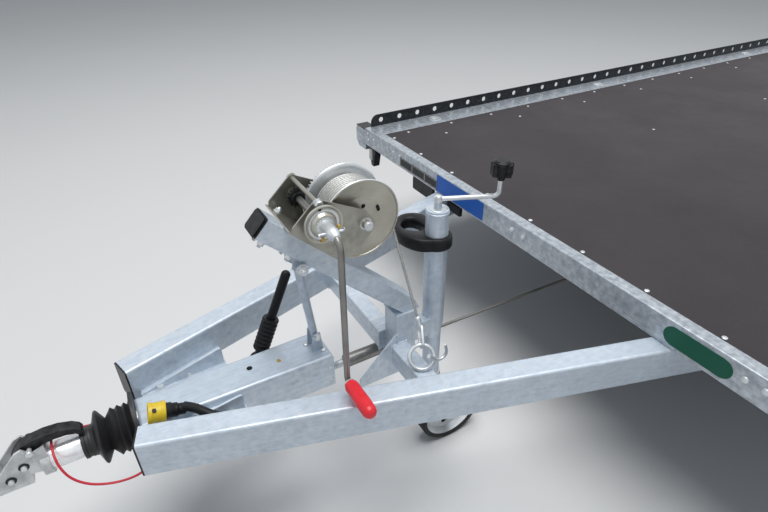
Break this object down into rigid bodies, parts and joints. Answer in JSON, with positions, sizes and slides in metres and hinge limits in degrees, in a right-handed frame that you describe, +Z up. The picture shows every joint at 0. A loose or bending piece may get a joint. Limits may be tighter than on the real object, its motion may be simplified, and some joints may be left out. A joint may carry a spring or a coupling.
{
  "type": "car transporter trailer",
  "caption": "Flat-bed car transporter trailer with converging drawbar, overrun coupling, hand winch, jockey leg, tandem wheels and slide-out ramps.",
  "frame": {"origin": "centre of the footprint, on the ground", "axes": "+X forward along the drawbar, +Y left, +Z up"},
  "size_m": [5.91, 2.384, 1.0115],
  "materials": {
    "galvanised": "hot-dip galvanised, softly spangled",
    "black_plastic": "matt black moulding",
    "black_steel": "black coated steel",
    "corner_plate": "dark coated",
    "lamp_lens": "clear white lens",
    "rear_lens": "red lens",
    "floor_ply": "dark brown film-faced plywood",
    "zinc": "bright zinc plate",
    "wire_rope": "galvanised wire rope",
    "red_grip": "red moulded grip",
    "red_cable": "red sleeved cable",
    "cast_zinc": "zinc plated casting",
    "rubber_bellows": "matt rubber",
    "wheel_silver": "silver paint",
    "tyre_rubber": "worn black"
  },
  "bodies": {
    "root": {"left_drawbar_beam": "galvanised", "right_drawbar_beam": "galvanised", "chassis_rails": "galvanised", "bed_front_beam": "galvanised", "left_side_beam": "galvanised", "right_side_beam": "galvanised", "bed_rear_beam": "galvanised", "cross_members": "galvanised", "overrun_housing": "galvanised", "drawbar_cross_member": "galvanised", "winch_post": "galvanised", "winch_arm": "galvanised", "winch_strut": "galvanised", "tow_tube": "galvanised", "jockey_tube": "galvanised", "front_axle": "galvanised", "rear_axle": "galvanised", "ramp_shafts": "galvanised", "jockey_crank": "galvanised", "end_caps": "black_plastic", "jockey_handle": "black_plastic", "jockey_knob": "black_plastic", "mudguards": "black_plastic", "lashing_rails": "black_steel", "corner_brackets": "corner_plate", "front_lamps": "lamp_lens", "rear_lamps": "rear_lens", "floor_panel": "floor_ply", "winch_hook": "zinc", "winch_frame": "zinc", "brake_rod": "zinc", "winch_rope": "wire_rope", "breakaway_cable": "red_cable", "coupling_head": "cast_zinc", "bellows": "rubber_bellows"},
    "winch_drum_body": {"winch_drum": "zinc", "rope_winding": "wire_rope"},
    "winch_crank_body": {"winch_crank": "zinc", "crank_grip": "red_grip"},
    "handbrake_body": {"handbrake_lever": "black_steel"},
    "coupling_handle_body": {"coupling_handle": "black_plastic"},
    "jockey_stem_body": {"jockey_stem": "galvanised"},
    "jockey_fork_body": {"jockey_fork": "zinc"},
    "jockey_wheel_body": {"jockey_wheel": "wheel_silver", "jockey_tyre": "tyre_rubber"},
    "left_ramp_body": {"left_ramp": "galvanised"},
    "right_ramp_body": {"right_ramp": "galvanised"},
    "front_left_wheel": {"front_left_rim": "wheel_silver", "front_left_tyre": "tyre_rubber"},
    "front_right_wheel": {"front_right_rim": "wheel_silver", "front_right_tyre": "tyre_rubber"},
    "rear_left_wheel": {"rear_left_rim": "wheel_silver", "rear_left_tyre": "tyre_rubber"},
    "rear_right_wheel": {"rear_right_rim": "wheel_silver", "rear_right_tyre": "tyre_rubber"}
  },
  "joints": [
    {"name": "front_left_spin", "type": "hinge", "parent": "root", "child": "front_left_wheel", "pos_m": [-0.715, 0.93, 0.22], "axis": [0, 1, 0], "continuous": true},
    {"name": "front_right_spin", "type": "hinge", "parent": "root", "child": "front_right_wheel", "pos_m": [-0.715, -0.93, 0.22], "axis": [0, 1, 0], "continuous": true},
    {"name": "rear_left_spin", "type": "hinge", "parent": "root", "child": "rear_left_wheel", "pos_m": [-1.335, 0.93, 0.22], "axis": [0, 1, 0], "continuous": true},
    {"name": "rear_right_spin", "type": "hinge", "parent": "root", "child": "rear_right_wheel", "pos_m": [-1.335, -0.93, 0.22], "axis": [0, 1, 0], "continuous": true},
    {"name": "jockey_wind", "type": "slide", "parent": "root", "child": "jockey_stem_body", "axis": [0, 0, 1], "range_m": [0, 0.14]},
    {"name": "jockey_swivel", "type": "hinge", "parent": "jockey_stem_body", "child": "jockey_fork_body", "pos_m": [1.792, 0.077, 0.25], "axis": [0, 0, 1], "continuous": true},
    {"name": "jockey_wheel_spin", "type": "hinge", "parent": "jockey_fork_body", "child": "jockey_wheel_body", "pos_m": [1.717, 0.077, 0.11], "axis": [0, 1, 0], "continuous": true},
    {"name": "winch_drum_spin", "type": "hinge", "parent": "root", "child": "winch_drum_body", "pos_m": [2.026, 0.07, 0.918], "axis": [0, 1, 0], "continuous": true},
    {"name": "winch_crank_spin", "type": "hinge", "parent": "root", "child": "winch_crank_body", "pos_m": [2.131, 0.07, 0.956], "axis": [0, 1, 0], "continuous": true},
    {"name": "handbrake", "type": "hinge", "parent": "root", "child": "handbrake_body", "pos_m": [2.259, -0.084, 0.45], "axis": [0, 1, 0], "range_deg": [-50, 15]},
    {"name": "coupling_release", "type": "hinge", "parent": "root", "child": "coupling_handle_body", "pos_m": [2.789, 0, 0.522], "axis": [0, 1, 0], "range_deg": [0, 60]},
    {"name": "left_ramp_slide", "type": "slide", "parent": "root", "child": "left_ramp_body", "axis": [-1, 0, 0], "range_m": [0, 1.5]},
    {"name": "right_ramp_slide", "type": "slide", "parent": "root", "child": "right_ramp_body", "axis": [-1, 0, 0], "range_m": [0, 1.5]}
  ],
  "couplings": [
    {"joint": "winch_crank_spin", "follows": "winch_drum_spin", "ratio": -4.375}
  ]
}
